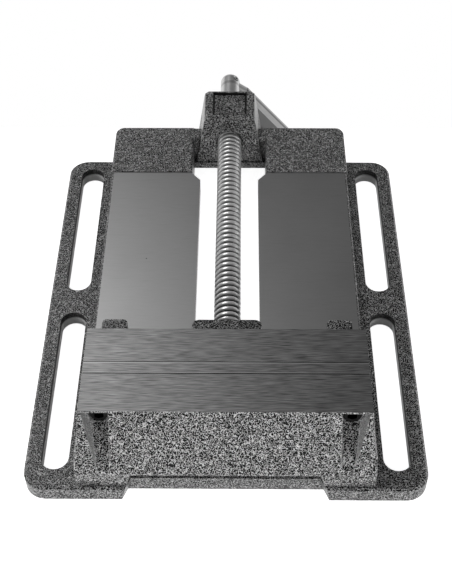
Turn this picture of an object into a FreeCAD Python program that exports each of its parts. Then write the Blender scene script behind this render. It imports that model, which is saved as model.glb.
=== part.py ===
import FreeCAD, Part
import math
import os

os.makedirs("parts", exist_ok=True)
V = FreeCAD.Vector

# A six inch drill press vise, closed. Millimetres. +X is to the right, +Y runs from the fixed
# jaw to the crank, +Z is up. The origin is on the flat underside, in the middle of the jaws'
# width and straight below the fixed jaw's clamping face.

# jaws
jaw_width = 152.4
jaw_half = jaw_width / 2
jaw_z = 54.0
plate_t = 7.7
jaw_gap = 0.1
jaw_top_depth = 24.9
moving_wall_t = 23.0
moving_web_t = 13.0
head_lip = 10.0

# flange and slots; the flange reaches out from the body by the slot and its two margins
base_length = 262.8
toe = 19.0
front = -jaw_top_depth - toe
rear = front + base_length
flange_t = 10.4
flange_corner = 12.0
flange_edge = 1.2
way_margin = 0.5
side_draft = 2.8
way_half = jaw_half + way_margin
body_half = way_half + side_draft
slot_r = 7.6
slot_length = 112.0
slot_in = 13.5
slot_out = 16.0
slot_x = body_half + slot_in
base_width = 2 * (slot_x + slot_out)
near_slot_y = front + 68.1
far_slot_y = rear - 64.7
notch_half = 55.8
notch_depth = 5.8
notch_slope = 2.1
notch_top_z = 20.0

# body under the ways
way_z = 24.0
shoulder_drop = 1.0
shelf_z = 13.5
body_wall = 9.0
channel_half = 19.1
channel_start = 2.0
way_end = rear - 26.0
corner_cut = 8.3

# fixed jaw
foot_front = front + 2.3
foot_top_z = 21.7
flare_z = 30.3
slope_z = 38.6
flare_y = 4.3
slope_y = 8.7
flare_in = 0.1
slope_in = 2.1
fixed_jaw_front = -jaw_top_depth
fixed_plate_y = -plate_t

# pockets that let a hex key reach the fixed plate's screws
plate_screw_in = 10.2
plate_screw_x = jaw_half - plate_screw_in
plate_screw_z = 46.0
pocket_inner = 5.6
pocket_outer = 4.7
pocket_lean = 0.294
pocket_draft = 0.086
pocket_y = -21.6
pocket_roof = 0.8
pocket_floor_z = plate_screw_z - 5.6
pocket_run_out = 2.3
pocket_corner = 2.0

# plate screws, M6 with socket heads
head_r = 5.0
head_t = 6.0
shank_r = 3.0
head_hole_r = 5.3
shank_hole_r = 3.3
hex_r = 2.89
hex_depth = 3.0
plate_thread = 6.0

# moving jaw
moving_wall_y = jaw_gap + plate_t
jaw_back = moving_wall_y + moving_wall_t
foot_reach = 25.8
foot_end = jaw_back + foot_reach
foot_z = 31.5
foot_outer = jaw_half - 4.2
foot_width = 14.5
foot_inner = foot_outer - foot_width
centre_foot_half = 20.0
slide_gap = 0.03
tongue_gap = 0.1
keeper_gap = 0.08
tongue_z = shelf_z - keeper_gap
moving_head_y = moving_wall_y + 9.0

# keeper plate under the ways, with its two bolts
keeper_half = 32.0
keeper_length = 41.0
keeper_t = 7.0
keeper_washer_t = 1.2
keeper_washer_r = 5.5
keeper_bolt_x = 12.0
keeper_bolt_y = moving_wall_y + 8.0
keeper_head_t = 4.0
keeper_head_r = 5.77
keeper_grip = 14.6

# platforms and boss at the rear
platform_z = 25.0
platform_inner = 24.5
platform_half = body_half - 1.0
platform_end = rear + 19.0
platform_corner = 6.0
platform_edge = 1.8
boss_front = rear + 5.4
boss_length = 32.9
boss_rear = boss_front + boss_length
boss_z = 41.4
boss_top_half = 17.1
boss_foot_half = 23.2
boss_draft = 1.5
boss_lip = 0.8
boss_lip_z = 5.0
web_z = platform_z
panel_half = 11.3
panel_start = boss_front + 7.2
panel_length = 23.0
panel_depth = 1.2

# screw, 16 mm trapezoidal thread with 4 mm pitch
screw_z = 22.4
screw_r = 8.0
bore_gap = 0.06
bore_mouth = 1.6
journal_r = 5.45
journal_gap = 0.05
journal_start = foot_end - 28.5
thread_start = foot_end + 1.0
thread_bevel = 1.2
groove_r = 4.0
groove_half = 2.6
groove_y = foot_end - 16.5
retaining_pin_r = 2.5
retaining_pin_x = groove_r + retaining_pin_r + 0.1
thrust_t = 1.95
thrust_r = 5.3
tail_r = 4.75

# crank
hub_r = 6.9
hub_gap = 2.4
hub_length = 34.6
hub_start = boss_rear + hub_gap
hub_end = hub_start + hub_length
hub_cap = 3.0
arm_setback = 20.8
arm_t = 7.0
arm_y0 = hub_start + arm_setback
arm_y1 = arm_y0 + arm_t
arm_length = 115.0
arm_angle = 50.0
arm_near = 8.7
arm_far = 7.6
arm_rim = 2.8
arm_pocket = 2.4
eye_r = 10.0
pin_r = 1.75
pin_bore_r = 0.95
pin_bevel = 0.8
pin_y = arm_y1 + 1.4
pin_angle = 52.0
pin_proud = 0.35

# grip at the arm's end
grip_length = 42.0
grip_r = 9.0
grip_end_r = 7.4
grip_bore_gap = 0.06
grip_washer_t = 1.0
grip_washer_r = 7.5
grip_gap = 0.1
spindle_r = 4.0
spindle_head_r = 5.0
spindle_head_t = 2.8
grip_start = arm_y1 + grip_washer_t + grip_gap
grip_recess = 3.4

# sides of a shape that repeats on the left and on the right
sides = (-1, 1)


def block(x0, x1, y0, y1, z0, z1):
    return Part.makeBox(x1 - x0, y1 - y0, z1 - z0, V(x0, y0, z0))


def rod(radius, start, direction, length):
    return Part.makeCylinder(radius, length, V(*start), V(*direction))


def plan_prism(points, z0, z1):
    wire = Part.makePolygon([V(x, y, z0) for x, y in points] + [V(*points[0], z0)])
    return Part.Face(wire).extrude(V(0, 0, z1 - z0))


def side_prism(points, x0, x1):
    wire = Part.makePolygon([V(x0, y, z) for y, z in points] + [V(x0, *points[0])])
    return Part.Face(wire).extrude(V(x1 - x0, 0, 0))


def end_prism(points, y0, y1):
    wire = Part.makePolygon([V(x, y0, z) for x, z in points] + [V(points[0][0], y0, points[0][1])])
    return Part.Face(wire).extrude(V(0, y1 - y0, 0))


def loft(low, low_z, high, high_z):
    wires = []
    for points, z in ((low, low_z), (high, high_z)):
        corners = [V(x, y, z) for x, y in points]
        wires.append(Part.makePolygon(corners + [corners[0]]))
    return Part.makeLoft(wires, True, True)


def ring(outer, inner, start, direction, length):
    return rod(outer, start, direction, length).cut(rod(inner, start, direction, length))


def hexagon(radius, first_turn, centre):
    points = []
    for step in range(6):
        turn = math.radians(60 * step + first_turn)
        points.append((centre[0] + radius * math.cos(turn), centre[1] + radius * math.sin(turn)))
    return points


def middle_of(edge):
    return edge.valueAt((edge.FirstParameter + edge.LastParameter) / 2)


def round_edges(solid, radius, wanted):
    # rounds the edges whose middle point passes the test
    return solid.makeFillet(radius, [edge for edge in solid.Edges if wanted(edge, middle_of(edge))])


def bevel_edges(solid, size, wanted):
    return solid.makeChamfer(size, [edge for edge in solid.Edges if wanted(edge, middle_of(edge))])


def upright(edge):
    tangent = edge.tangentAt(edge.FirstParameter)
    return abs(tangent.z) > 0.9


def slot(x, y):
    half = slot_length / 2 - slot_r
    shape = block(x - slot_r, x + slot_r, y - half, y + half, -1, flange_t + 1)
    for end in (y - half, y + half):
        shape = shape.fuse(rod(slot_r, (x, end, -1), (0, 0, 1), flange_t + 2))
    return shape.removeSplitter()


def flange():
    half = base_width / 2
    plate = block(-half, half, front, rear, 0, flange_t)
    plate = round_edges(plate, flange_corner, lambda edge, middle: upright(edge))
    return bevel_edges(plate, flange_edge, lambda edge, middle: middle.z > flange_t - 0.01)


def way_body():
    # drafted sides, with the machined way tops standing a little above the cast shoulders
    shoulder = way_z - shoulder_drop
    brow = way_half + side_draft / 2
    half_outline = [(body_half, 0.5), (body_half, flange_t), (brow, shoulder - 1), (brow - 0.8, shoulder),
                    (way_half, shoulder), (way_half, way_z)]
    mirrored = [(-x, z) for x, z in reversed(half_outline)]
    return end_prism(half_outline + mirrored, fixed_jaw_front + 10, way_end)


def fixed_jaw():
    # upright foot, then a front face that leans back; the sides flare out to the body's width
    levels = [(flange_t - 1, body_half, foot_front), (foot_top_z, body_half, foot_front),
              (flare_z, body_half - flare_in, foot_front + flare_y),
              (slope_z, body_half - slope_in, foot_front + slope_y), (jaw_z, jaw_half, fixed_jaw_front)]
    wall = None
    for (low_z, low_half, low_y), (high_z, high_half, high_y) in zip(levels, levels[1:]):
        low = [(-low_half, low_y), (low_half, low_y), (low_half, fixed_plate_y), (-low_half, fixed_plate_y)]
        high = [(-high_half, high_y), (high_half, high_y), (high_half, fixed_plate_y), (-high_half, fixed_plate_y)]
        slab = loft(low, low_z, high, high_z)
        wall = slab if wall is None else wall.fuse(slab)
    return wall


def pockets():
    # each one slopes down from its screw and runs out above the upright foot; its outer wall leans outwards
    roof_z = jaw_z - pocket_roof
    end_z = foot_top_z + pocket_run_out
    end_y = foot_front + flare_y * pocket_run_out / (flare_z - foot_top_z)
    reach = foot_front - 5
    outline = [(pocket_y, roof_z), (pocket_y, pocket_floor_z), (end_y, end_z), (reach, end_z), (reach, roof_z)]
    shapes = []
    for side in sides:
        corners = []
        for y, z in ((reach, end_z - 1), (pocket_y + 1, end_z - 1), (pocket_y + 1, jaw_z), (reach, jaw_z)):
            x = plate_screw_x + pocket_outer + pocket_lean * (z - pocket_floor_z) - pocket_draft * (y - pocket_y)
            corners.append(V(side * x, y, z))
        inside = Part.Face(Part.makePolygon(corners + [corners[0]])).extrude(V(-side * jaw_half, 0, 0))
        low_x, high_x = sorted((side * (plate_screw_x - pocket_inner), side * body_half))
        shape = side_prism(outline, low_x, high_x).common(inside)
        shapes.append(round_edges(shape, pocket_corner,
                                  lambda edge, middle: end_z + 1 < middle.z < pocket_floor_z - 1
                                  and middle.y > end_y + 1))
    return shapes


def platforms():
    result = []
    for side in sides:
        low_x, high_x = sorted((side * platform_inner, side * platform_half))
        shape = block(low_x, high_x, way_end - 0.5, platform_end, 0, platform_z)
        outside = platform_half - 1
        back = platform_end - 1
        shape = round_edges(shape, platform_corner, lambda edge, middle: upright(edge) and middle.y > back
                            and abs(middle.x) > outside)
        shape = round_edges(shape, platform_edge, lambda edge, middle: middle.z > platform_z - 0.1
                            and middle.y > way_end)
        result.append(shape)
    return result


def boss():
    foot_rear = boss_rear + boss_draft
    low = [(-boss_foot_half, boss_front), (boss_foot_half, boss_front),
           (boss_foot_half, foot_rear), (-boss_foot_half, foot_rear)]
    high = [(-boss_top_half, boss_front), (boss_top_half, boss_front),
            (boss_top_half, boss_rear), (-boss_top_half, boss_rear)]
    shape = loft(low, boss_lip_z - 3, high, boss_z)
    back = boss_rear - 1
    shape = bevel_edges(shape, 2.5, lambda edge, middle: 5 < middle.z < boss_z - 3 and middle.y > back)
    shape = round_edges(shape, 1.5, lambda edge, middle: middle.z > boss_z - 0.05)
    return shape


def boss_webs():
    # a low lip across the channel's end and a thick web between the boss and both platforms
    reach = platform_inner + 1
    lip = block(-reach, reach, boss_front - boss_lip, platform_end - 3, 0, boss_lip_z)
    reach = platform_inner + platform_edge + 0.2
    web = block(-reach, reach, boss_front + 3, platform_end - platform_edge, 0, web_z)
    return lip.fuse(web)


def boss_cuts():
    panel = block(-panel_half, panel_half, panel_start, panel_start + panel_length,
                  boss_z - panel_depth, boss_z + 2)
    along = (0, 1, 0)
    bore = rod(screw_r + bore_gap, (0, boss_front - 5, screw_z), along, boss_length + 20)
    mouth = Part.makeCone(screw_r + bore_mouth, screw_r, bore_mouth, V(0, boss_front, screw_z), V(*along))
    rear_mouth = Part.makeCone(screw_r, screw_r + bore_mouth, bore_mouth,
                               V(0, boss_rear - bore_mouth / 2, screw_z), V(*along))
    return [panel, bore, mouth, rear_mouth]


def channel():
    # open from the jaw to the boss, with its two rear corners cut back
    middle = block(-channel_half, channel_half, channel_start, way_end + 5, -1, platform_z + 1)
    outer = platform_inner + 1.5
    corners = [(-channel_half, way_end - corner_cut), (channel_half, way_end - corner_cut),
               (outer, way_end), (-outer, way_end)]
    flare = plan_prism(corners, -1, way_z + 0.5)
    bay = block(-platform_inner, platform_inner, way_end - 0.5, boss_front - boss_lip, -1, platform_z + 1)
    return [middle, flare, bay]


def underside():
    # the casting is hollow below: side walls, cross walls and two ribs under the fixed jaw
    inner = body_half - body_wall
    cuts = [block(-inner, inner, channel_start, way_end - 5, -1, shelf_z)]
    low_front = fixed_jaw_front - 7.5
    high_front = fixed_jaw_front + 3.5
    back = fixed_plate_y + 1.8
    slope = [(low_front, -1), (back, -1), (back, shelf_z + 0.5), (fixed_plate_y - 8.2, shelf_z + 0.5),
             (fixed_plate_y - 8.2, jaw_z - 16), (high_front, jaw_z - 16)]
    hollow_end = plate_screw_x - pocket_inner - 3
    for low, high in ((-hollow_end, -25), (-channel_half, channel_half), (25, hollow_end)):
        cuts.append(side_prism(slope, low, high))
    for side in sides:
        low_x, high_x = sorted((side * (platform_inner + 7.5), side * (platform_half - 8.5)))
        cuts.append(block(low_x, high_x, way_end + 3, platform_end - 8, -1, platform_z - 9))
    return cuts


def plate_screw_holes(y_head, y_end, direction):
    # counterbore and clearance hole of each plate screw
    cuts = []
    for x in (-plate_screw_x, plate_screw_x):
        cuts.append(rod(head_hole_r, (x, y_head, plate_screw_z), (0, -direction, 0), moving_wall_t + 7))
        cuts.append(rod(shank_hole_r, (x, y_head, plate_screw_z), (0, direction, 0), abs(y_end - y_head)))
    return cuts


def front_loft(low_half, high_half, z0, z1, depth, taper):
    # recess in the front edge with sloping ends, a little narrower at its back
    wires = []
    for y, shrink in ((front - 0.5, 0), (front + depth, taper)):
        low = low_half - shrink
        high = high_half - shrink
        corners = [V(-low, y, z0), V(low, y, z0), V(high, y, z1), V(-high, y, z1), V(-low, y, z0)]
        wires.append(Part.makePolygon(corners))
    return Part.makeLoft(wires, True, True)


def notch():
    # wide shallow recess in the flange's front edge and in the foot of the jaw above it
    waist = notch_half - notch_slope
    return [front_loft(notch_half + 0.2, waist, -0.5, flange_t, notch_depth + 0.9, 3.0),
            front_loft(waist, waist - notch_slope, flange_t, notch_top_z, notch_depth + 3.2, 3.0)]


def make_base():
    shape = flange()
    for piece in [way_body(), fixed_jaw(), boss(), boss_webs()] + platforms():
        shape = shape.fuse(piece)
    for cut in channel() + underside() + notch() + pockets() + boss_cuts():
        shape = shape.cut(cut)
    for x in (-slot_x, slot_x):
        for y in (near_slot_y, far_slot_y):
            shape = shape.cut(slot(x, y))
    for cut in plate_screw_holes(pocket_y + head_t, fixed_plate_y + 1, 1):
        shape = shape.cut(cut)
    return shape.removeSplitter()


def socket_screw(x, y_seat, z, direction, shank):
    # M6 socket head screw, seat of the head at y_seat, shank along direction
    top = y_seat - head_t * direction
    head = rod(head_r, (x, y_seat, z), (0, -direction, 0), head_t)
    head = bevel_edges(head, 0.5, lambda edge, middle: abs(middle.y - top) < 0.01)
    shank_rod = rod(shank_r, (x, y_seat - 0.5 * direction, z), (0, direction, 0), shank + 0.5)
    low_y, high_y = sorted((top - direction, top + hex_depth * direction))
    socket = end_prism(hexagon(hex_r, 30, (x, z)), low_y, high_y)
    return head.fuse(shank_rod).removeSplitter().cut(socket)


def make_fixed_plate_screws():
    seat = pocket_y + head_t
    shank = fixed_plate_y + plate_thread - seat - 0.5
    return [socket_screw(x, seat, plate_screw_z, 1, shank) for x in (-plate_screw_x, plate_screw_x)]


def make_moving_plate_screws():
    shank = moving_head_y - moving_wall_y + plate_thread - 1
    return [socket_screw(x, moving_head_y, plate_screw_z, -1, shank) for x in (-plate_screw_x, plate_screw_x)]


def jaw_plate(y0, y1, hole_side):
    plate = block(-jaw_half, jaw_half, y0, y1, way_z + 0.05, jaw_z)
    plate = bevel_edges(plate, 0.5, lambda edge, middle: upright(edge))
    for x in (-plate_screw_x, plate_screw_x):
        start = y0 if hole_side < 0 else y1 - plate_thread
        plate = plate.cut(rod(shank_r, (x, start, plate_screw_z), (0, 1, 0), plate_thread))
    return plate


def jaw_leg(low_x, high_x, corner):
    # a foot behind the jaw wall, with its rib up to the head
    bottom = way_z + slide_gap
    outline = [(moving_wall_y, bottom), (foot_end, bottom), (foot_end, foot_z), (jaw_back + 11, foot_z),
               (jaw_back, jaw_z - 8), (moving_wall_y, jaw_z - 8)]
    shape = side_prism(outline, low_x, high_x)
    return round_edges(shape, corner, lambda edge, middle: upright(edge) and middle.y > foot_end - 0.1)


def make_moving_jaw():
    bottom = way_z + slide_gap
    wall = block(-jaw_half, jaw_half, moving_wall_y, moving_wall_y + moving_web_t, bottom, jaw_z)
    lip_z = jaw_z - head_lip
    head = side_prism([(moving_wall_y, lip_z), (jaw_back - 8, lip_z - 6), (jaw_back, lip_z), (jaw_back, jaw_z),
                       (moving_wall_y, jaw_z)], -jaw_half, jaw_half)
    shape = wall.fuse(head)
    for low_x, high_x, corner in ((-foot_outer, -foot_inner, 2.5), (foot_inner, foot_outer, 2.5),
                                  (-centre_foot_half, centre_foot_half, 4)):
        shape = shape.fuse(jaw_leg(low_x, high_x, corner))
    # tongue that fills the channel, down to the keeper plate
    tongue_half = channel_half - tongue_gap
    tongue = block(-tongue_half, tongue_half, moving_wall_y + 0.5, foot_end, tongue_z, way_z + 1)
    shape = shape.fuse(round_edges(tongue, 2, lambda edge, middle: upright(edge)))
    shape = shape.cut(rod(journal_r + journal_gap, (0, journal_start - thrust_t - 0.05, screw_z), (0, 1, 0), 60))
    for x in (-retaining_pin_x, retaining_pin_x):
        shape = shape.cut(rod(retaining_pin_r, (x, groove_y, 0), (0, 0, 1), tongue_z + 15.6))
    for x in (-keeper_bolt_x, keeper_bolt_x):
        shape = shape.cut(rod(shank_r, (x, keeper_bolt_y, 0), (0, 0, 1), tongue_z + keeper_grip))
    for cut in plate_screw_holes(moving_head_y, moving_wall_y - 1, -1):
        shape = shape.cut(cut)
    return shape.removeSplitter()


def make_keeper_plate():
    start = moving_wall_y + 1
    plate = block(-keeper_half, keeper_half, start, start + keeper_length, tongue_z - keeper_t, tongue_z)
    plate = bevel_edges(plate, 1.0, lambda edge, middle: upright(edge))
    for x in (-keeper_bolt_x, keeper_bolt_x):
        plate = plate.cut(rod(shank_hole_r, (x, keeper_bolt_y, 0), (0, 0, 1), tongue_z + 1))
    return plate


def make_keeper_bolts():
    seat = tongue_z - keeper_t - keeper_washer_t
    length = keeper_washer_t + keeper_t + keeper_grip - 0.8
    bolts = []
    for x in (-keeper_bolt_x, keeper_bolt_x):
        head = plan_prism(hexagon(keeper_head_r, 0, (x, keeper_bolt_y)), seat - keeper_head_t, seat)
        stem = rod(shank_r, (x, keeper_bolt_y, seat - 0.5), (0, 0, 1), length + 0.5)
        bolts.append(head.fuse(stem).removeSplitter())
    return bolts


def make_keeper_washers():
    low = tongue_z - keeper_t - keeper_washer_t
    return [ring(keeper_washer_r, shank_r + 0.1, (x, keeper_bolt_y, low), (0, 0, 1), keeper_washer_t)
            for x in (-keeper_bolt_x, keeper_bolt_x)]


def make_retaining_pins():
    return [rod(retaining_pin_r, (x, groove_y, tongue_z), (0, 0, 1), 15.5)
            for x in (-retaining_pin_x, retaining_pin_x)]


def make_thrust_washer():
    return rod(thrust_r, (0, journal_start - thrust_t - 0.05, screw_z), (0, 1, 0), thrust_t)


def make_lead_screw():
    # journal held in the moving jaw, threaded length drawn plain, stepped tail inside the crank
    along = (0, 1, 0)
    screw = rod(journal_r, (0, journal_start, screw_z), along, thread_start - journal_start + 1)
    groove = ring(journal_r + 1, groove_r, (0, groove_y - groove_half, screw_z), along, 2 * groove_half)
    screw = screw.cut(groove)
    thread = rod(screw_r, (0, thread_start, screw_z), along, hub_start - thread_start)
    thread = thread.makeChamfer(thread_bevel, [e for e in thread.Edges if len(e.Vertexes) == 1])
    screw = screw.fuse(thread)
    screw = screw.fuse(rod(tail_r, (0, hub_start - 1, screw_z), along, hub_length - 3))
    return screw.removeSplitter().cut(roll_pin_rod(pin_r, 2))


def roll_pin_rod(radius, spare):
    # the roll pin's line crosses the hub and the screw's tail at right angles
    lean = math.radians(pin_angle)
    direction = (math.cos(lean), 0, math.sin(lean))
    reach = hub_r + pin_proud + spare
    start = (-reach * direction[0], pin_y, screw_z - reach * direction[2])
    return rod(radius, start, direction, 2 * reach)


def pin_bevels():
    # shallow bevels where the pin's hole meets the outside of the hub
    lean = math.radians(pin_angle)
    bevels = []
    for side in sides:
        direction = V(side * math.cos(lean), 0, side * math.sin(lean))
        start = V(0, pin_y, screw_z) + direction * (hub_r - pin_bevel)
        bevels.append(Part.makeCone(pin_r, pin_r + 2 * pin_bevel, 2 * pin_bevel, start, direction))
    return bevels


def make_crank_pin():
    return roll_pin_rod(pin_r, 0).cut(roll_pin_rod(pin_bore_r, 1))


def arm_outline():
    # plan of the arm in its own plane, from the hub outwards
    return [(0, -hub_r + 0.1), (10, -arm_near), (arm_length, -arm_far), (arm_length, arm_far), (10, arm_near),
            (2.5, hub_r - 0.3)]


def at_crank(shape):
    shape.rotate(V(0, 0, 0), V(0, 1, 0), arm_angle)
    shape.translate(V(0, 0, screw_z))
    return shape


def make_hub():
    # the hub's end is domed in three short tapers
    hub = rod(hub_r, (0, hub_start, 0), (0, 1, 0), hub_length - hub_cap)
    radius = hub_r
    y = hub_end - hub_cap
    for next_radius, share in ((0.93, 0.5), (0.76, 0.33), (0.5, 0.17)):
        length = hub_cap * share
        hub = hub.fuse(Part.makeCone(radius, hub_r * next_radius, length, V(0, y, 0), V(0, 1, 0)))
        radius = hub_r * next_radius
        y += length
    return hub


def make_crank():
    arm = end_prism(arm_outline(), arm_y0, arm_y1)
    eye = rod(eye_r, (arm_length, arm_y0, 0), (0, 1, 0), arm_t)
    crank = make_hub().fuse(arm).fuse(eye).removeSplitter()
    near = arm_near - arm_rim
    far = arm_far - arm_rim
    pocket_start = hub_r + 4.6
    pocket_end = arm_length - eye_r - 0.5
    outline = [(pocket_start, -near), (pocket_end, -far), (pocket_end, far), (pocket_start, near)]
    crank = crank.cut(end_prism(outline, arm_y0 - 1, arm_y0 + arm_pocket))
    crank = crank.cut(end_prism(outline, arm_y1 - arm_pocket, arm_y1 + 1))
    crank = crank.cut(rod(spindle_r, (arm_length, arm_y0 - 1, 0), (0, 1, 0), arm_t + 2))
    crank = crank.cut(rod(tail_r, (0, hub_start - 1, 0), (0, 1, 0), hub_length - 3))
    crank = at_crank(crank).cut(roll_pin_rod(pin_r, 2))
    for bevel in pin_bevels():
        crank = crank.cut(bevel)
    return crank


def at_arm_end(shape):
    shape.translate(V(arm_length, 0, 0))
    return at_crank(shape)


def make_grip_washer():
    return at_arm_end(ring(grip_washer_r, spindle_r, (0, arm_y1, 0), (0, 1, 0), grip_washer_t))


def make_crank_grip():
    # a barrel with tapered ends and a recess for the spindle's head
    end = grip_start + grip_length
    bore = spindle_r + grip_bore_gap
    recess = spindle_head_r + 0.2
    profile = [V(bore, grip_start, 0), V(grip_end_r, grip_start, 0), V(grip_r, grip_start + 4, 0),
               V(grip_r, end - 4, 0), V(grip_end_r, end, 0), V(recess, end, 0), V(recess, end - grip_recess, 0),
               V(bore, end - grip_recess, 0)]
    face = Part.Face(Part.makePolygon(profile + [profile[0]]))
    return at_arm_end(face.revolve(V(0, 0, 0), V(0, 1, 0), 360))


def make_grip_spindle():
    seat = grip_start + grip_length - grip_recess + 0.1
    stem = rod(spindle_r, (0, arm_y0, 0), (0, 1, 0), seat - arm_y0)
    head = rod(spindle_head_r, (0, seat, 0), (0, 1, 0), spindle_head_t)
    head = bevel_edges(head, 1.0, lambda edge, middle: middle.y > seat + spindle_head_t - 0.1)
    return at_arm_end(stem.fuse(head).removeSplitter())


pieces = {
    "base_casting": make_base(),
    "fixed_jaw_plate": jaw_plate(fixed_plate_y, 0, -1),
    "fixed_plate_screws": make_fixed_plate_screws(),
    "moving_jaw_casting": make_moving_jaw(),
    "moving_jaw_plate": jaw_plate(jaw_gap, moving_wall_y, 1),
    "moving_plate_screws": make_moving_plate_screws(),
    "keeper_plate": make_keeper_plate(),
    "keeper_bolts": make_keeper_bolts(),
    "keeper_washers": make_keeper_washers(),
    "screw_retaining_pins": make_retaining_pins(),
    "thrust_washer": make_thrust_washer(),
    "lead_screw": make_lead_screw(),
    "crank": make_crank(),
    "crank_pin": make_crank_pin(),
    "grip_washer": make_grip_washer(),
    "grip_spindle": make_grip_spindle(),
    "crank_grip": make_crank_grip(),
}

for name, shape in pieces.items():
    if isinstance(shape, list):
        shape = Part.makeCompound(shape)
    shape.exportStep("parts/" + name + ".step")
    print(name, len(shape.Solids), "solids", round(shape.Volume / 1000, 2), "cm3", shape.isValid())
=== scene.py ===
import math
import bmesh
import bpy
from mathutils import Euler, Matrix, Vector


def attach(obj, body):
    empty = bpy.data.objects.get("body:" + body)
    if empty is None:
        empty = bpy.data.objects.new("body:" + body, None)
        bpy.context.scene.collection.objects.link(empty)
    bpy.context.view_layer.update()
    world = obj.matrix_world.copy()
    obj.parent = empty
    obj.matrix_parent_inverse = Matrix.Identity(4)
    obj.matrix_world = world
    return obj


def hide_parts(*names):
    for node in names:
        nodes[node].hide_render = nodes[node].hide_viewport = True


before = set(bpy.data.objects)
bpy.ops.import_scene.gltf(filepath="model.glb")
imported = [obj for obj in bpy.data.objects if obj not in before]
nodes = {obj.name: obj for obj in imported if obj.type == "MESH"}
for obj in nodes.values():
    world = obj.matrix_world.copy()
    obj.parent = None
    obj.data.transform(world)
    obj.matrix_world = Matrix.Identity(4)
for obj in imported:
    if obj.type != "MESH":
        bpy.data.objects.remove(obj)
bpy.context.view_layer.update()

mm = 0.001

# what the camera saw: place, tilt and lens worked out from the vise's own straight edges
view = {
    "place": (0.0071, -0.3565, 0.5140),
    "tiltDown": 47.98,
    "turnLeft": 1.05,
    "roll": -0.584,
    "focalPixels": 1099.0,
    "imageHeight": 584,
    "filmWidth": 36.0,
    "nearest": 0.01,
}


def makeCamera():
    cameraData = bpy.data.cameras.new("camera")
    cameraData.sensor_width = view["filmWidth"]
    cameraData.lens = view["focalPixels"] / view["imageHeight"] * view["filmWidth"]
    cameraData.clip_start = view["nearest"]
    camera = bpy.data.objects.new("camera", cameraData)
    bpy.context.scene.collection.objects.link(camera)
    turn = Euler((0, 0, math.radians(view["turnLeft"]))).to_matrix()
    tilt = Euler((math.radians(90 - view["tiltDown"]), 0, 0)).to_matrix()
    roll = Euler((0, 0, math.radians(view["roll"]))).to_matrix()
    matrix = (turn @ tilt @ roll).to_4x4()
    matrix.translation = Vector(view["place"])
    camera.matrix_world = matrix
    bpy.context.scene.camera = camera


# small helpers for node trees
def feed(tree, value, socket):
    # a plain value is set on the socket, and an output is linked to it
    if isinstance(value, (int, float, tuple)):
        socket.default_value = value
    else:
        tree.links.new(value, socket)


def addNode(tree, kind, **values):
    node = tree.nodes.new(kind)
    for name, value in values.items():
        feed(tree, value, node.inputs[name.replace("_", " ")])
    return node


def mathNode(tree, operation, *values):
    node = tree.nodes.new("ShaderNodeMath")
    node.operation = operation
    for socket, value in zip(node.inputs, values):
        feed(tree, value, socket)
    return node.outputs[0]


def vectorNode(tree, operation, first, second):
    node = tree.nodes.new("ShaderNodeVectorMath")
    node.operation = operation
    feed(tree, first, node.inputs[0])
    feed(tree, second, node.inputs[1])
    return node.outputs


def split(tree, vector):
    return addNode(tree, "ShaderNodeSeparateXYZ", Vector=vector).outputs


def spread(tree, value, low, high, newLow=0.0, newHigh=1.0):
    node = addNode(tree, "ShaderNodeMapRange", Value=value, From_Min=low, From_Max=high,
                   To_Min=newLow, To_Max=newHigh)
    return node.outputs["Result"]


def mixColour(tree, mask, first, second):
    node = tree.nodes.new("ShaderNodeMix")
    node.data_type = "RGBA"
    for place, value in ((0, mask), (6, first), (7, second)):  # 6 and 7 are the colour sockets
        feed(tree, value, node.inputs[place])
    return node.outputs[2]


def mixValue(tree, mask, first, second):
    node = tree.nodes.new("ShaderNodeMix")
    node.data_type = "FLOAT"
    for place, value in ((0, mask), (2, first), (3, second)):  # 2 and 3 are the value sockets
        feed(tree, value, node.inputs[place])
    return node.outputs[0]


def mixShader(tree, mask, first, second):
    node = tree.nodes.new("ShaderNodeMixShader")
    for socket, value in zip(node.inputs, (mask, first, second)):
        tree.links.new(value, socket)
    return node.outputs[0]


def between(tree, value, low, high):
    # one inside the two limits
    above = mathNode(tree, "GREATER_THAN", value, low)
    below = mathNode(tree, "LESS_THAN", value, high)
    return mathNode(tree, "MULTIPLY", above, below)


def every(tree, first, *others):
    # one where all the masks are one
    for other in others:
        first = mathNode(tree, "MULTIPLY", first, other)
    return first


def grey(level):
    return (level, level, level, 1)


def newObject(name, mesh):
    data = bpy.data.meshes.new(name)
    mesh.normal_update()
    mesh.to_mesh(data)
    mesh.free()
    piece = bpy.data.objects.new(name, data)
    bpy.context.scene.collection.objects.link(piece)
    return piece


# studio: a pale table that ends just behind the vise, so the crank hangs past its edge
studio = {
    "tableFront": -3.0,
    "tableRear": 0.266,
    "tableHalfWidth": 3.0,
    "tableThickness": 0.03,
    "tableTone": 0.9,
    "tableRoughness": 0.8,
    "tableSpecular": 0.2,
    "tableGlow": 0.9,
    "ambient": 0.17,
    "ceiling": 0.2,
    "horizon": 1.0,
    "horizonFade": (0.05, 0.26),
    "lampAim": (0, 0.08, 0.02),
}
lamps = {
    "frontLeftSoft": {"place": (-0.95, -1.3, 0.3), "size": (0.8, 0.5), "watts": 25.0, "inMetal": False},
    "frontRightSoft": {"place": (1.0, -1.2, 0.3), "size": (0.8, 0.5), "watts": 21.0, "inMetal": False},
    "backLeftSoft": {"place": (-0.52, 0.9, 1.28), "size": (0.62, 0.62), "watts": 6.0, "inMetal": True},
}


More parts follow.
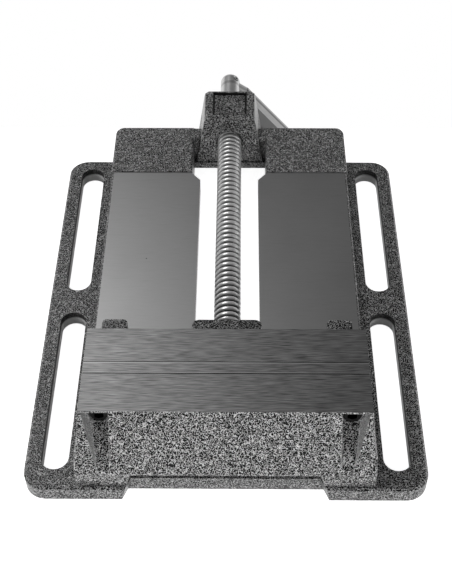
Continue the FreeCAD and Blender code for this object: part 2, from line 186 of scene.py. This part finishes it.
def makeLamps():
    aim = Vector(studio["lampAim"])
    for name, lamp in lamps.items():
        lampData = bpy.data.lights.new(name, "AREA")
        lampData.shape = "RECTANGLE"
        lampData.size, lampData.size_y = lamp["size"]
        lampData.energy = lamp["watts"]
        lampObject = bpy.data.objects.new(name, lampData)
        bpy.context.scene.collection.objects.link(lampObject)
        lampObject.location = lamp["place"]
        lampObject.rotation_euler = (aim - lampObject.location).to_track_quat("-Z", "Y").to_euler()
        lampObject.visible_glossy = lamp["inMetal"]


def anyDirectRay(tree):
    # one for rays that come straight from the camera, a mirror or glass
    rays = tree.nodes.new("ShaderNodeLightPath").outputs
    seen = mathNode(tree, "MAXIMUM", rays["Is Camera Ray"], rays["Is Glossy Ray"])
    return mathNode(tree, "MAXIMUM", seen, rays["Is Transmission Ray"])


def makeWorld():
    # white all round for the camera; mirrors see a white horizon under a dim ceiling
    world = bpy.data.worlds.new("studioWorld")
    world.use_nodes = True
    bpy.context.scene.world = world
    tree = world.node_tree
    tree.nodes.clear()
    light = {}
    for name in ("ambient", "ceiling", "horizon"):
        light[name] = addNode(tree, "ShaderNodeBackground", Color=grey(1), Strength=studio[name]).outputs[0]
    direction = tree.nodes.new("ShaderNodeTexCoord")
    overhead = spread(tree, split(tree, direction.outputs["Generated"])["Z"], *studio["horizonFade"])
    lightPath = tree.nodes.new("ShaderNodeLightPath")
    dim = mathNode(tree, "MULTIPLY", overhead, lightPath.outputs["Is Glossy Ray"])
    backdrop = mixShader(tree, dim, light["horizon"], light["ceiling"])
    surface = mixShader(tree, anyDirectRay(tree), light["ambient"], backdrop)
    tree.links.new(surface, tree.nodes.new("ShaderNodeOutputWorld").inputs["Surface"])


def makeTable():
    mesh = bmesh.new()
    half = studio["tableHalfWidth"]
    corners = []
    for z in (-studio["tableThickness"], 0):
        for x, y in ((-half, studio["tableFront"]), (half, studio["tableFront"]),
                     (half, studio["tableRear"]), (-half, studio["tableRear"])):
            corners.append(mesh.verts.new((x, y, z)))
    mesh.faces.new(corners[0:4][::-1])
    mesh.faces.new(corners[4:8])
    for side in range(4):
        after = (side + 1) % 4
        mesh.faces.new((corners[side], corners[after], corners[after + 4], corners[side + 4]))
    table = newObject("pale_table", mesh)
    material = bpy.data.materials.new("paleTable")
    material.use_nodes = True
    tree = material.node_tree
    shader = tree.nodes["Principled BSDF"]
    shader.inputs["Base Color"].default_value = grey(studio["tableTone"])
    shader.inputs["Roughness"].default_value = studio["tableRoughness"]
    shader.inputs["Specular IOR Level"].default_value = studio["tableSpecular"]
    # the glow lifts the table to white for the camera and leaves the vise's shadow on it
    strength = mathNode(tree, "MULTIPLY", anyDirectRay(tree), studio["tableGlow"])
    glow = addNode(tree, "ShaderNodeEmission", Strength=strength)
    both = tree.nodes.new("ShaderNodeAddShader")
    tree.links.new(shader.outputs[0], both.inputs[0])
    tree.links.new(glow.outputs[0], both.inputs[1])
    tree.links.new(both.outputs[0], tree.nodes["Material Output"].inputs["Surface"])
    table.data.materials.append(material)


# effects that several materials share
def newGroup(name, inputs, outputs):
    # inputs gives each one's usual value, and None for a vector
    group = bpy.data.node_groups.new(name, "ShaderNodeTree")
    for label, value in inputs.items():
        kind = "NodeSocketVector" if value is None else "NodeSocketFloat"
        socket = group.interface.new_socket(label, in_out="INPUT", socket_type=kind)
        if value is not None:
            socket.default_value = value
    for label in outputs:
        group.interface.new_socket(label, in_out="OUTPUT", socket_type="NodeSocketFloat")
    start = group.nodes.new("NodeGroupInput")
    end = group.nodes.new("NodeGroupOutput")
    return group, start.outputs, end.inputs


def placeGroup(tree, name, place, **values):
    node = tree.nodes.new("ShaderNodeGroup")
    node.node_tree = groups[name]
    tree.links.new(place["Object"], node.inputs["Place"])
    if "Facing" in node.inputs:
        tree.links.new(place["Normal"], node.inputs["Facing"])
    for label, value in values.items():
        node.inputs[label].default_value = value
    return node.outputs


worms = {
    "detail": 1.0,
    "roughness": 0.4,
    "core": 0.1,
    "patchScale": 420.0,
    "patchDetail": 1.0,
    "patches": (0.36, 0.62),
    "faintest": 0.7,
}


def hammerGroup():
    # hammer finish: short pale worms, where fine noise crosses its middle, on dark paint
    group, given, result = newGroup("hammerFinish", {"Place": None, "Fineness": 880.0, "Width": 0.072},
                                    ("Ridge", "Height"))
    fine = addNode(group, "ShaderNodeTexNoise", Vector=given["Place"], Scale=given["Fineness"],
                   Detail=worms["detail"], Roughness=worms["roughness"])
    away = mathNode(group, "ABSOLUTE", mathNode(group, "SUBTRACT", fine.outputs["Fac"], 0.5))
    ridge = spread(group, mathNode(group, "DIVIDE", away, given["Width"]), worms["core"], 1.0, 1.0, 0.0)
    slow = addNode(group, "ShaderNodeTexNoise", Vector=given["Place"], Scale=worms["patchScale"],
                   Detail=worms["patchDetail"])
    lively = spread(group, slow.outputs["Fac"], *worms["patches"], worms["faintest"], 1.0)
    group.links.new(mathNode(group, "MULTIPLY", ridge, lively), result["Ridge"])
    group.links.new(ridge, result["Height"])
    return group


grinding = {
    "lineDetail": 2.5,
    "lines": (0.32, 0.68),
    "scratchDetail": 1.0,
    "scratchStretch": (0.6, 0.5, 0.5),
    "scratches": (0.6, 0.72),
}


def brushedGroup():
    # fine grinding lines across the vise, and a few deeper ones; more breaks make shorter lines
    group, given, result = newGroup("brushedLines", {"Place": None, "Fineness": 3200.0, "Breaks": 110.0},
                                    ("Line", "Scratch"))
    stretch = addNode(group, "ShaderNodeCombineXYZ", X=given["Breaks"], Y=given["Fineness"],
                      Z=given["Fineness"])
    drawn = vectorNode(group, "MULTIPLY", given["Place"], stretch.outputs[0])["Vector"]
    fine = addNode(group, "ShaderNodeTexNoise", Vector=drawn, Scale=1.0, Detail=grinding["lineDetail"])
    wider = vectorNode(group, "MULTIPLY", drawn, grinding["scratchStretch"])["Vector"]
    few = addNode(group, "ShaderNodeTexNoise", Vector=wider, Scale=1.0, Detail=grinding["scratchDetail"])
    group.links.new(spread(group, fine.outputs["Fac"], *grinding["lines"]), result["Line"])
    group.links.new(spread(group, few.outputs["Fac"], *grinding["scratches"]), result["Scratch"])
    return group


edges = {
    "samples": 6,
    "bend": (0.995, 0.8),
    "patchDetail": 3.0,
    "patches": (0.35, 0.6),
}


def edgeGroup():
    # pale where two faces meet, as wear and as painted highlight: the smoothed normal leaves the true one
    group, given, result = newGroup("edgeWearAndHighlight", {"Place": None, "Radius": 0.5 * mm, "Patchiness": 90.0},
                                    ("Edge",))
    smooth = addNode(group, "ShaderNodeBevel", Radius=given["Radius"])
    smooth.samples = edges["samples"]
    geometry = group.nodes.new("ShaderNodeNewGeometry")
    flatness = vectorNode(group, "DOT_PRODUCT", smooth.outputs[0], geometry.outputs["True Normal"])["Value"]
    patches = addNode(group, "ShaderNodeTexNoise", Vector=given["Place"], Scale=given["Patchiness"],
                      Detail=edges["patchDetail"])
    edge = spread(group, flatness, *edges["bend"])
    wornAndHighlit = spread(group, patches.outputs["Fac"], *edges["patches"])
    group.links.new(mathNode(group, "MULTIPLY", edge, wornAndHighlit), result["Edge"])
    return group


clouds = {
    "detail": 3.0,
    "tones": (0.3, 0.7),
    "pits": (0.008, 0.022),
}


def cloudGroup():
    # slow change of tone, and sparse pits
    group, given, result = newGroup("cloudsAndPits", {"Place": None, "Patchiness": 22.0, "Pits": 90.0},
                                    ("Cloud", "Pit"))
    cloud = addNode(group, "ShaderNodeTexNoise", Vector=given["Place"], Scale=given["Patchiness"],
                    Detail=clouds["detail"])
    pits = addNode(group, "ShaderNodeTexVoronoi", Vector=given["Place"], Scale=given["Pits"])
    few = spread(group, pits.outputs["Distance"], *clouds["pits"], 1.0, 0.0)
    group.links.new(spread(group, cloud.outputs["Fac"], *clouds["tones"]), result["Cloud"])
    group.links.new(few, result["Pit"])
    return group


# joints on the jaws' ground tops: bands of painted shade and painted highlight, from where to where along the
# vise
seam = {
    "gapShade": (-0.32 * mm, 0.32 * mm),
    "gapHighlight": (0.32 * mm, 0.832 * mm),
    "backHighlight": (6.648 * mm, 7.48 * mm),
    "backShade": (7.48 * mm, 7.992 * mm),
    "shadeShare": 0.9,
    "highlightShare": 0.45,
    "dark": 0.012,
    "pale": 0.4,
}


def jointGroup():
    # painted shade in the clamping gap and in the joint behind the moving plate, each with a painted
    # highlight on the edge beside it
    group, given, result = newGroup("jointShadeAndHighlight", {"Place": None}, ("Dark", "Bright"))
    y = split(group, given["Place"])["Y"]
    dark = mathNode(group, "MAXIMUM", between(group, y, *seam["backShade"]),
                    between(group, y, *seam["gapShade"]))
    bright = mathNode(group, "MAXIMUM", between(group, y, *seam["backHighlight"]),
                      between(group, y, *seam["gapHighlight"]))
    group.links.new(mathNode(group, "MULTIPLY", dark, seam["shadeShare"]), result["Dark"])
    group.links.new(mathNode(group, "MULTIPLY", bright, seam["highlightShare"]), result["Bright"])
    return group


# where the castings aren't plain hammer paint, and what they show there
facing = {
    "flat": 0.9,
    "steep": 0.5,
    "sideways": 0.6,
    "forward": -0.4,
}
tops = {
    "ways": (23.6 * mm, 24.4 * mm),
    "jaws": (53.6 * mm, 54.4 * mm),
}
# slot walls: painted shade in their upper part and painted light from the table in their lower part
slots = {
    "across": (84.0 * mm, 102.0 * mm),
    "along": (-40.0 * mm, 215.0 * mm),
    "shade": (5.0 * mm, 6.5 * mm),
    "dark": 0.004,
    "pale": 0.95,
    "roughness": 0.9,
    "share": 0.85,
}
# pocket side walls: painted light that offsets their shade
pockets = {
    "across": (60.0 * mm, 74.5 * mm),
    "pale": 0.8,
    "share": 0.3,
}
boss = {
    "start": 200.0 * mm,
    "foot": 25.6 * mm,
    # painted sheen on the boss's sides
    "sideSheen": 0.5,
    "sideShare": 0.55,
    # painted shade on the boss's front
    "frontShade": 0.01,
    "frontShare": 0.4,
}
# flange front: painted shade
flange = {
    "top": 11.0 * mm,
    "frontShade": 0.01,
    "frontShare": 0.25,
}
# painted shade in the crease round the recessed panel on the boss
panel = {
    "halfWidth": 11.3 * mm,
    "start": 231.5 * mm,
    "end": 254.5 * mm,
    "inward": 1.1 * mm,
    "outward": 0.33 * mm,
    "top": 39.0 * mm,
    "dark": 0.004,
    "share": 0.95,
}


def panelArea(tree, x, y, grow):
    # one inside the panel on the boss, made larger all round by grow
    half = panel["halfWidth"] + grow
    return every(tree, between(tree, x, -half, half),
                 between(tree, y, panel["start"] - grow, panel["end"] + grow))


def castingGroup():
    # masks for ground tops, slot walls and their painted shade, pocket sides, boss sides and front, flange
    # front and panel border, where painted light, sheen and shade go
    group, given, result = newGroup("castingFaces", {"Place": None, "Facing": None},
                                    ("WayTop", "JawTop", "SlotWall", "SlotShade", "PocketSidePaintedLight", "BossSideSheen",
                                     "BossFront", "FlangeFront", "PanelEdgeShade"))
    x, y, z = split(group, given["Place"])
    right, back, up = split(group, given["Facing"])
    across = mathNode(group, "ABSOLUTE", x)
    flat = mathNode(group, "GREATER_THAN", up, facing["flat"])
    steep = mathNode(group, "LESS_THAN", mathNode(group, "ABSOLUTE", up), facing["steep"])
    sideways = mathNode(group, "GREATER_THAN", mathNode(group, "ABSOLUTE", right), facing["sideways"])
    forward = mathNode(group, "LESS_THAN", back, facing["forward"])
    inFlange = mathNode(group, "LESS_THAN", z, flange["top"])
    overFlange = mathNode(group, "GREATER_THAN", z, flange["top"])
    front = mathNode(group, "LESS_THAN", y, 0.0)
    onBoss = every(group, mathNode(group, "GREATER_THAN", y, boss["start"]),
                   mathNode(group, "GREATER_THAN", z, boss["foot"]))
    border = mathNode(group, "SUBTRACT", panelArea(group, x, y, panel["outward"]),
                      panelArea(group, x, y, -panel["inward"]))
    masks = {
        "WayTop": every(group, flat, between(group, z, *tops["ways"])),
        "JawTop": every(group, flat, between(group, z, *tops["jaws"])),
        "SlotWall": every(group, steep, inFlange, between(group, across, *slots["across"]),
                          between(group, y, *slots["along"])),
        "SlotShade": spread(group, z, *slots["shade"]),
        "PocketSidePaintedLight": every(group, sideways, front, overFlange, between(group, across, *pockets["across"])),
        "BossSideSheen": every(group, sideways, onBoss),
        "BossFront": every(group, forward, onBoss),
        "FlangeFront": every(group, forward, inFlange),
        "PanelEdgeShade": every(group, border, mathNode(group, "GREATER_THAN", z, panel["top"])),
    }
    for label, mask in masks.items():
        group.links.new(mask, result[label])
    return group


groups = {
    "hammer": hammerGroup(),
    "brushed": brushedGroup(),
    "edge": edgeGroup(),
    "cloud": cloudGroup(),
    "joints": jointGroup(),
    "casting": castingGroup(),
}
print("effects ready")


def newMaterial(name):
    material = bpy.data.materials.new(name)
    material.use_nodes = True
    tree = material.node_tree
    place = tree.nodes.new("ShaderNodeTexCoord")
    return material, tree, tree.nodes["Principled BSDF"], place.outputs


def bumpFrom(tree, height):
    # height is in metres
    return addNode(tree, "ShaderNodeBump", Strength=1.0, Distance=1.0, Height=height).outputs[0]


# ground iron: the tops of ways and jaws
ground = {
    "dark": 0.08,
    "pale": 0.275,
    "wayDark": 0.21,
    "wayPale": 0.29,
    "wayLines": 0.2,
    "fineness": 3200.0,
    "breaks": 110.0,
    "scratch": 0.06,
    "scratchShare": 0.3,
    "pit": 0.04,
    "pits": 40.0,
    "roughness": 0.34,
    "cloudRoughness": 0.05,
    "lineRoughness": 0.06,
    "bump": 0.012 * mm,
    "edgeRadius": 0.3 * mm,
    "edgeShare": 0.4,
}


def groundMetal(tree, place, strength, dark, pale):
    # colour, roughness and height of ground iron; strength is how strongly its lines show
    lines = placeGroup(tree, "brushed", place, Fineness=ground["fineness"], Breaks=ground["breaks"])
    cloud = placeGroup(tree, "cloud", place, Pits=ground["pits"])
    line = mathNode(tree, "MULTIPLY_ADD", mathNode(tree, "SUBTRACT", lines["Line"], 0.5), strength, 0.5)
    colour = mixColour(tree, line, dark, pale)
    scratch = mathNode(tree, "MULTIPLY", lines["Scratch"], strength)
    scratch = mathNode(tree, "MULTIPLY", scratch, ground["scratchShare"])
    colour = mixColour(tree, scratch, colour, grey(ground["scratch"]))
    colour = mixColour(tree, cloud["Pit"], colour, grey(ground["pit"]))
    roughness = mathNode(tree, "MULTIPLY_ADD", cloud["Cloud"], ground["cloudRoughness"], ground["roughness"])
    roughness = mathNode(tree, "MULTIPLY_ADD", line, ground["lineRoughness"], roughness)
    height = mathNode(tree, "MULTIPLY", mathNode(tree, "MULTIPLY", lines["Line"], strength), ground["bump"])
    return colour, roughness, height


def addJoints(tree, place, colour):
    # painted highlight, then painted shade, along the joints
    joints = placeGroup(tree, "joints", place)
    colour = mixColour(tree, joints["Bright"], colour, grey(seam["pale"]))
    return mixColour(tree, joints["Dark"], colour, grey(seam["dark"]))


def groundPlate(name):
    material, tree, shader, place = newMaterial(name)
    colour, roughness, height = groundMetal(tree, place, 1.0, grey(ground["dark"]), grey(ground["pale"]))
    # pale plate edges: wear and painted highlight
    edge = placeGroup(tree, "edge", place, Radius=ground["edgeRadius"])
    wornAndHighlit = mathNode(tree, "MULTIPLY", edge["Edge"], ground["edgeShare"])
    colour = mixColour(tree, wornAndHighlit, colour, grey(seam["pale"]))
    tree.links.new(addJoints(tree, place, colour), shader.inputs["Base Color"])
    shader.inputs["Metallic"].default_value = 1.0
    tree.links.new(roughness, shader.inputs["Roughness"])
    tree.links.new(bumpFrom(tree, height), shader.inputs["Normal"])
    return material


# hammer-finish paint over cast iron, with ground tops
paint = {
    "fineness": 880.0,
    "width": 0.072,
    "dark": 0.005,
    "pale": 0.6,
    # pale paint edges: wear and painted highlight
    "wornAndHighlit": 0.45,
    "wornAndHighlitShare": 0.5,
    "edgeRadius": 0.5 * mm,
    "metallic": 0.5,
    "roughness": 0.34,
    "cloudRoughness": 0.12,
    "coat": 0.12,
    "coatRoughness": 0.15,
    "specular": 0.25,
    "bump": 0.08 * mm,
}


def paintTone(tree, place, faces):
    # colour of the painted faces: worms, painted shade and painted light on the slot walls, painted light on
    # the pocket sides, painted sheen on the boss sides, painted shade on the boss and flange fronts, worn
    # edges with painted highlight, and painted shade round the panel
    hammer = placeGroup(tree, "hammer", place, Fineness=paint["fineness"], Width=paint["width"])
    edge = placeGroup(tree, "edge", place, Radius=paint["edgeRadius"])
    colour = mixColour(tree, hammer["Ridge"], grey(paint["dark"]), grey(paint["pale"]))
    # painted light from the table low on the slot walls, painted shade higher up
    slotTone = mixColour(tree, faces["SlotShade"], grey(slots["pale"]), grey(slots["dark"]))
    for mask, share, tone in ((faces["SlotWall"], slots["share"], slotTone),
                              (faces["PocketSidePaintedLight"], pockets["share"], grey(pockets["pale"])),
                              (faces["BossSideSheen"], boss["sideShare"], grey(boss["sideSheen"])),
                              (faces["BossFront"], boss["frontShare"], grey(boss["frontShade"])),
                              (faces["FlangeFront"], flange["frontShare"], grey(flange["frontShade"])),
                              (edge["Edge"], paint["wornAndHighlitShare"], grey(paint["wornAndHighlit"])),
                              (faces["PanelEdgeShade"], panel["share"], grey(panel["dark"]))):
        colour = mixColour(tree, mathNode(tree, "MULTIPLY", mask, share), colour, tone)
    return colour, mathNode(tree, "MULTIPLY", hammer["Height"], paint["bump"])


def paintedCasting(name):
    material, tree, shader, place = newMaterial(name)
    faces = placeGroup(tree, "casting", place)
    jawTop = faces["JawTop"]
    groundTop = mathNode(tree, "MAXIMUM", faces["WayTop"], jawTop)
    lines = mixValue(tree, jawTop, ground["wayLines"], 1.0)
    dark = mixColour(tree, jawTop, grey(ground["wayDark"]), grey(ground["dark"]))
    pale = mixColour(tree, jawTop, grey(ground["wayPale"]), grey(ground["pale"]))
    metalColour, metalRough, metalHeight = groundMetal(tree, place, lines, dark, pale)
    metalColour = addJoints(tree, place, metalColour)
    paintColour, paintHeight = paintTone(tree, place, faces)
    tree.links.new(mixColour(tree, groundTop, paintColour, metalColour), shader.inputs["Base Color"])

    paintMetal = mixValue(tree, faces["SlotWall"], paint["metallic"], 0.0)
    tree.links.new(mixValue(tree, groundTop, paintMetal, 1.0), shader.inputs["Metallic"])
    cloud = placeGroup(tree, "cloud", place)
    paintRough = mathNode(tree, "MULTIPLY_ADD", cloud["Cloud"], paint["cloudRoughness"], paint["roughness"])
    paintRough = mixValue(tree, faces["SlotWall"], paintRough, slots["roughness"])
    tree.links.new(mixValue(tree, groundTop, paintRough, metalRough), shader.inputs["Roughness"])
    bare = mathNode(tree, "MAXIMUM", groundTop, faces["SlotWall"])
    tree.links.new(mathNode(tree, "MULTIPLY_ADD", bare, -paint["coat"], paint["coat"]),
                   shader.inputs["Coat Weight"])
    shader.inputs["Coat Roughness"].default_value = paint["coatRoughness"]
    shader.inputs["Specular IOR Level"].default_value = paint["specular"]
    height = mixValue(tree, groundTop, paintHeight, metalHeight)
    tree.links.new(bumpFrom(tree, height), shader.inputs["Normal"])
    return material


# lead screw: right-hand trapezoidal thread, its profile as share of the pitch and share of the depth
thread = {
    "pitch": 4.0 * mm,
    "crestRadius": 8.0 * mm,
    "rootRadius": 6.1 * mm,
    "axisHeight": 22.4 * mm,
    "start": 57.6 * mm,
    "end": 259.6 * mm,
    "runOut": 1.4 * mm,
    "endSink": 0.2 * mm,
    "steps": 40,
    "mergeWithin": 0.01 * mm,
    "profile": ((0.0, 0.0), (0.05, 0.05), (0.21, 0.95), (0.26, 1.0),
                (0.60, 1.0), (0.65, 0.95), (0.81, 0.05), (0.86, 0.0)),
    "greaseAndShadeFull": 6.7 * mm,
    "greaseAndShadeEnd": 7.8 * mm,
}
# crank: the arm is painted darker than the hub, and its web, a recess, darker still with painted shade
crankArm = {
    "hubHalfWidth": 12.0 * mm,
    "web": (282.4 * mm, 285.2 * mm),
    "armShare": 0.5,
    "webShare": 0.35,
}


def threadRoot(tree, place):
    # grease and shade between the threads
    spot = split(tree, place["Object"])
    up = mathNode(tree, "SUBTRACT", spot["Z"], thread["axisHeight"])
    across = mathNode(tree, "MULTIPLY", spot["X"], spot["X"])
    radius = mathNode(tree, "SQRT", mathNode(tree, "MULTIPLY_ADD", up, up, across))
    return spread(tree, radius, thread["greaseAndShadeFull"], thread["greaseAndShadeEnd"], 1.0, 0.0)


def armRecess(tree, place):
    # painted darkening: over the arm past the hub, and more in the web's recess as painted shade
    spot = split(tree, place["Object"])
    across = mathNode(tree, "ABSOLUTE", spot["X"])
    outward = mathNode(tree, "GREATER_THAN", across, crankArm["hubHalfWidth"])
    web = mathNode(tree, "MULTIPLY", between(tree, spot["Y"], *crankArm["web"]), crankArm["webShare"])
    return mathNode(tree, "MULTIPLY_ADD", outward, crankArm["armShare"], web)


# plated, blackened, turned and die-cast metal
metals = {
    "blackOxide": {"dark": 0.01, "pale": 0.03, "roughness": 0.22, "bump": 0.02 * mm, "wearAndHighlight": 0.8},
    "turnedSteel": {"dark": 0.85, "pale": 1.0, "roughness": 0.26, "bump": 0.004 * mm, "wearAndHighlight": 0.7,
                    "metallic": 0.85, "shade": threadRoot},
    "dieCastZinc": {"dark": 0.56, "pale": 0.68, "roughness": 0.22, "bump": 0.01 * mm, "wearAndHighlight": 0.5,
                    "shade": armRecess},
    "zincPlate": {"dark": 0.4, "pale": 0.62, "roughness": 0.22, "bump": 0.02 * mm, "wearAndHighlight": 0.5},
    "plainSteel": {"dark": 0.4, "pale": 0.55, "roughness": 0.25, "bump": 0.02 * mm, "wearAndHighlight": 0.5},
}
metalGrain = {
    "scale": 900.0,
    "detail": 3.0,
    "patchiness": 120.0,
    "cloudShare": 0.6,
    "grainShare": 0.4,
    "roughness": 0.2,
    "edgeRadius": 0.3 * mm,
    "edgeLift": 1.6,
    "shadeDepth": 0.06,
}


def smoothMetal(name, dark, pale, roughness, bump, wearAndHighlight, metallic=1.0, shade=None):
    # soft clouds, fine grain, paler edges as wear and painted highlight, and painted shade where a shade mask
    # is given
    material, tree, shader, place = newMaterial(name)
    cloud = placeGroup(tree, "cloud", place, Patchiness=metalGrain["patchiness"])
    edge = placeGroup(tree, "edge", place, Radius=metalGrain["edgeRadius"])
    grain = addNode(tree, "ShaderNodeTexNoise", Vector=place["Object"], Scale=metalGrain["scale"],
                    Detail=metalGrain["detail"]).outputs["Fac"]
    tone = mathNode(tree, "MULTIPLY", grain, metalGrain["grainShare"])
    tone = mathNode(tree, "MULTIPLY_ADD", cloud["Cloud"], metalGrain["cloudShare"], tone)
    colour = mixColour(tree, tone, grey(dark), grey(pale))
    # pale edges: wear and painted highlight
    wornAndHighlit = mathNode(tree, "MULTIPLY", edge["Edge"], wearAndHighlight)
    colour = mixColour(tree, wornAndHighlit, colour, grey(min(1, pale * metalGrain["edgeLift"])))
    if shade:
        colour = mixColour(tree, shade(tree, place), colour, grey(dark * metalGrain["shadeDepth"]))
    tree.links.new(colour, shader.inputs["Base Color"])
    shader.inputs["Metallic"].default_value = metallic
    tree.links.new(mathNode(tree, "MULTIPLY_ADD", grain, metalGrain["roughness"], roughness),
                   shader.inputs["Roughness"])
    tree.links.new(bumpFrom(tree, mathNode(tree, "MULTIPLY", grain, bump)), shader.inputs["Normal"])
    return material


def makeLeadScrew():
    mesh = bmesh.new()
    steps = thread["steps"]
    depth = thread["crestRadius"] - thread["rootRadius"]
    length = thread["end"] - thread["start"]
    turns = int(length / thread["pitch"]) + 3  # what reaches past an end is pressed flat there
    rows = []
    for turn in range(turns):
        for share, rise in thread["profile"]:
            row = []
            for step in range(steps):
                y = thread["pitch"] * (turn - 1 + share + step / steps)
                y = min(max(y, 0), length)
                fromEnd = min(y, length - y)
                taper = thread["rootRadius"] - thread["endSink"] + fromEnd * depth / thread["runOut"]
                radius = min(thread["rootRadius"] + depth * rise, taper)
                angle = 2 * math.pi * step / steps
                row.append(mesh.verts.new((radius * math.sin(angle), thread["start"] + y,
                                           thread["axisHeight"] + radius * math.cos(angle))))
            rows.append(row)
    perTurn = len(thread["profile"])
    for low in range(len(rows) - 1):
        high = low + 1
        for step in range(steps):
            if step < steps - 1:
                corners = (rows[low][step], rows[high][step], rows[high][step + 1], rows[low][step + 1])
            elif high + perTurn < len(rows):
                corners = (rows[low][step], rows[high][step], rows[high + perTurn][0], rows[low + perTurn][0])
            else:
                continue
            mesh.faces.new(corners)
    bmesh.ops.remove_doubles(mesh, verts=mesh.verts, dist=thread["mergeWithin"])
    bmesh.ops.recalc_face_normals(mesh, faces=mesh.faces)
    screw = newObject("threaded_rod", mesh)
    for face in screw.data.polygons:
        face.use_smooth = True
    return screw


bpy.context.scene.view_settings.view_transform = "Standard"
makeCamera()
makeLamps()
makeWorld()
makeTable()
print("studio ready")

finishes = {
    "hammeredBase": paintedCasting("hammeredBase"),
    "hammeredJaw": paintedCasting("hammeredJaw"),
    "groundMovingPlate": groundPlate("groundMovingPlate"),
    "groundFixedPlate": groundPlate("groundFixedPlate"),
}
for name, values in metals.items():
    finishes[name] = smoothMetal(name, **values)
finishOf = {
    "base_casting": "hammeredBase",
    "moving_jaw_casting": "hammeredJaw",
    "fixed_jaw_plate": "groundFixedPlate",
    "moving_jaw_plate": "groundMovingPlate",
    "fixed_plate_screws": "blackOxide",
    "moving_plate_screws": "blackOxide",
    "keeper_plate": "plainSteel",
    "keeper_bolts": "zincPlate",
    "keeper_washers": "zincPlate",
    "screw_retaining_pins": "plainSteel",
    "thrust_washer": "plainSteel",
    "lead_screw": "turnedSteel",
    "crank": "dieCastZinc",
    "crank_pin": "plainSteel",
    "grip_washer": "zincPlate",
    "grip_spindle": "plainSteel",
    "crank_grip": "dieCastZinc",
}
for name, finish in finishOf.items():
    nodes[name].data.materials.clear()
    nodes[name].data.materials.append(finishes[finish])
print("finishes on")

threadedRod = makeLeadScrew()
threadedRod.data.materials.append(finishes["turnedSteel"])
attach(threadedRod, "screw_and_crank")
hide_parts("lead_screw")
print("lead screw ready")
